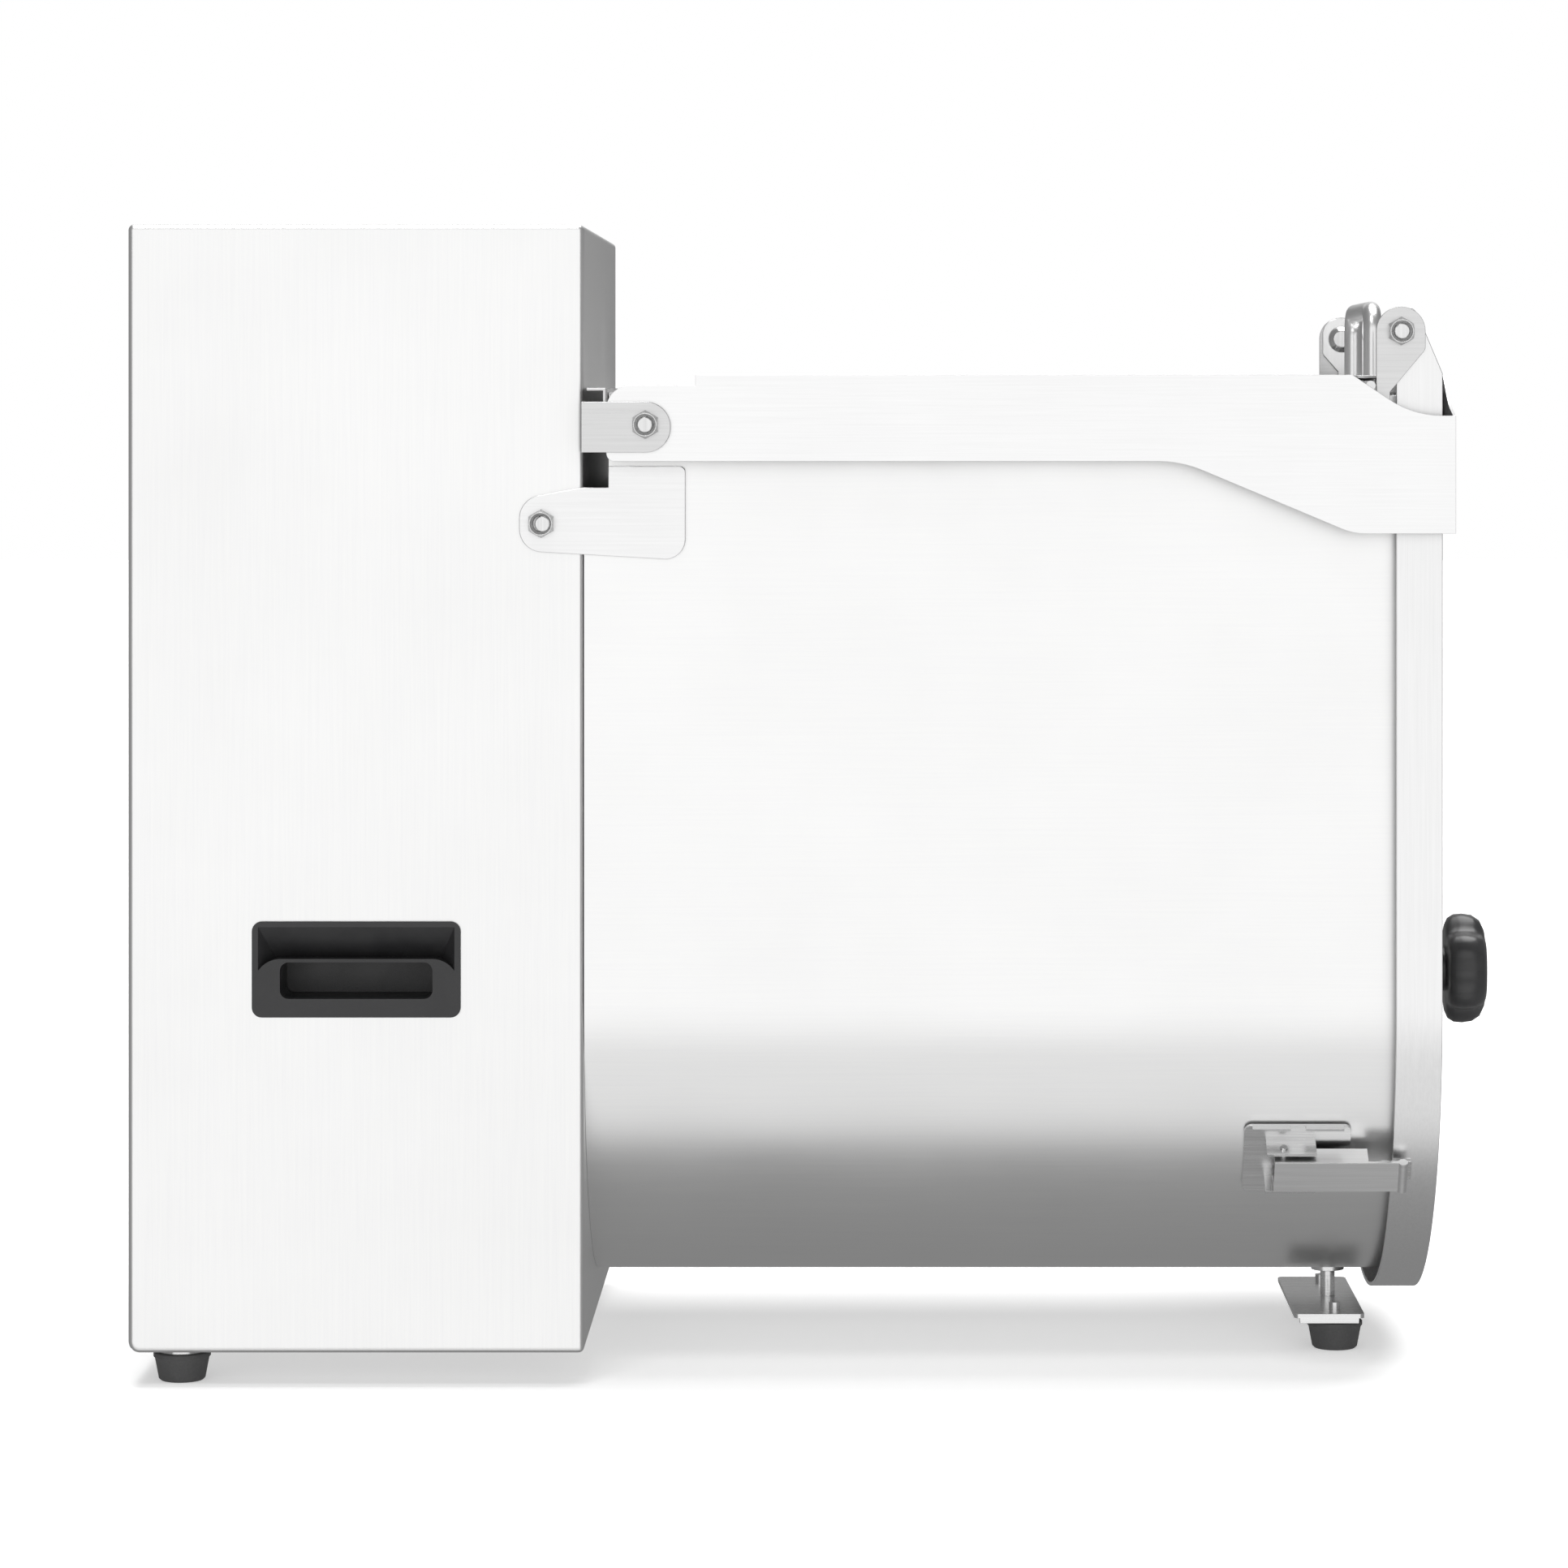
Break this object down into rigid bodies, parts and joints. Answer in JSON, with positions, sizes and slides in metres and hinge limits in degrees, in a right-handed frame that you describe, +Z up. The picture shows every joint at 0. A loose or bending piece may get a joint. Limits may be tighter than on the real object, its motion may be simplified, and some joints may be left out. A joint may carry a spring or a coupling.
{
  "type": "meat mixer",
  "caption": "Electric meat mixer: box-shaped drive housing beside a horizontal U-shaped stainless tank with hinged lid, top-hung end door, star knob, draw latches and paddle shaft.",
  "frame": {"origin": "on the floor, under the middle of the whole machine", "axes": "+X from the drive housing to the end door, +Y to the side with the push buttons, +Z up"},
  "size_m": [0.7254, 0.3918, 0.606],
  "materials": {
    "satin_steel": "fine brushed stainless sheet",
    "polished_steel": "bright machined steel",
    "brushed_bar": "brushed stainless bar",
    "black_abs": "fine grained moulded plastic",
    "bakelite": "glossy black phenolic moulding",
    "rubber_black": "matt black rubber",
    "silicone_white": "food grade silicone strip",
    "white_nylon": "machined white nylon",
    "motor_paint": "blue grey motor paint",
    "cast_alloy": "as cast aluminium",
    "bronze": "cut bronze",
    "dark_steel": "ground steel and laminations",
    "panel_grey": "grey laminate",
    "bezel_metal": "satin turned bezel",
    "button_green": "glossy green",
    "button_red": "glossy red",
    "button_black": "glossy black",
    "capacitor_can": "white plastic can"
  },
  "bodies": {
    "machine": {"base_pan": "satin_steel", "bearing_flange": "cast_alloy", "button_bezels": "bezel_metal", "cable_gland": "black_abs", "capacitor": "capacitor_can", "contact_blocks": "black_abs", "contactors": "black_abs", "control_panel": "panel_grey", "door_ears": "satin_steel", "ear_tie_rod": "polished_steel", "end_panel": "satin_steel", "end_panel_screws": "polished_steel", "fan_cover": "motor_paint", "flange_bolts": "polished_steel", "foot_bolts": "polished_steel", "gear_bearings": "polished_steel", "gearbox_cover": "cast_alloy", "gearbox_housing": "cast_alloy", "grip_front": "black_abs", "grip_rear": "black_abs", "hinge_bolts": "polished_steel", "hinge_nuts": "polished_steel", "housing_wrap": "satin_steel", "latch_bases": "satin_steel", "latch_pins": "polished_steel", "lid_hinge_beam": "satin_steel", "lid_hinge_brackets": "satin_steel", "motor_end_bells": "motor_paint", "motor_frame": "motor_paint", "rubber_feet": "rubber_black", "shaft_seal": "white_nylon", "side_plates": "satin_steel", "stator": "dark_steel", "tank_end_wall": "satin_steel", "tank_foot_bracket": "satin_steel", "tank_shell": "satin_steel"},
    "lid": {"lid": "satin_steel", "pull_handle": "brushed_bar", "pull_screws": "polished_steel"},
    "door": {"door": "satin_steel", "door_gasket": "silicone_white", "door_bush": "white_nylon", "latch_keepers": "satin_steel"},
    "knob": {"star_knob": "bakelite", "knob_spindle": "polished_steel"},
    "front_lever": {"front_lever": "satin_steel"},
    "front_claw": {"front_claw": "satin_steel"},
    "rear_lever": {"rear_lever": "satin_steel"},
    "rear_claw": {"rear_claw": "satin_steel"},
    "mixer": {"mixing_shaft": "brushed_bar", "paddles": "brushed_bar", "output_shaft": "polished_steel", "worm_wheel": "bronze"},
    "motor_rotor": {"rotor": "dark_steel", "worm": "dark_steel", "motor_fan": "black_abs"},
    "forward_button": {"forward_button": "button_green"},
    "stop_button": {"stop_button": "button_red"},
    "reverse_button": {"reverse_button": "button_black"}
  },
  "joints": [
    {"name": "lid_hinge", "type": "hinge", "parent": "machine", "child": "lid", "pos_m": [-0.09205, 0, 0.5018], "axis": [0, -1, 0], "range_deg": [0, 92]},
    {"name": "door_hinge", "type": "hinge", "parent": "machine", "child": "door", "pos_m": [0.29905, 0, 0.5502], "axis": [0, -1, 0], "range_deg": [0, 92]},
    {"name": "knob_turn", "type": "hinge", "parent": "door", "child": "knob", "pos_m": [0.335, 0, 0.201], "axis": [1, 0, 0], "continuous": true},
    {"name": "mixer_turn", "type": "hinge", "parent": "machine", "child": "mixer", "pos_m": [0, 0, 0.201], "axis": [1, 0, 0], "continuous": true},
    {"name": "motor_turn", "type": "hinge", "parent": "machine", "child": "motor_rotor", "pos_m": [-0.24, -0.063, 0.35], "axis": [0, 0, 1], "continuous": true},
    {"name": "front_latch", "type": "hinge", "parent": "machine", "child": "front_lever", "pos_m": [0.24, -0.14743, 0.11241], "axis": [0, 0.515, -0.8572], "range_deg": [0, 100]},
    {"name": "front_claw_pivot", "type": "hinge", "parent": "front_lever", "child": "front_claw", "pos_m": [0.252, -0.14743, 0.11241], "axis": [0, 0.515, -0.8572], "range_deg": [-25, 0]},
    {"name": "rear_latch", "type": "hinge", "parent": "machine", "child": "rear_lever", "pos_m": [0.24, 0.14743, 0.11241], "axis": [0, 0.515, 0.8572], "range_deg": [0, 100]},
    {"name": "rear_claw_pivot", "type": "hinge", "parent": "rear_lever", "child": "rear_claw", "pos_m": [0.252, 0.14743, 0.11241], "axis": [0, 0.515, 0.8572], "range_deg": [-25, 0]},
    {"name": "forward_press", "type": "slide", "parent": "machine", "child": "forward_button", "axis": [0, -1, 0], "range_m": [0, 0.004], "stiffness_N_per_m": 400},
    {"name": "stop_press", "type": "slide", "parent": "machine", "child": "stop_button", "axis": [0, -1, 0], "range_m": [0, 0.004], "stiffness_N_per_m": 400},
    {"name": "reverse_press", "type": "slide", "parent": "machine", "child": "reverse_button", "axis": [0, -1, 0], "range_m": [0, 0.004], "stiffness_N_per_m": 400}
  ],
  "couplings": [
    {"joint": "door_hinge", "follows": "lid_hinge", "ratio": 1},
    {"joint": "motor_turn", "follows": "mixer_turn", "ratio": 30},
    {"joint": "front_claw_pivot", "follows": "front_latch", "ratio": -0.25},
    {"joint": "rear_claw_pivot", "follows": "rear_latch", "ratio": -0.25}
  ]
}
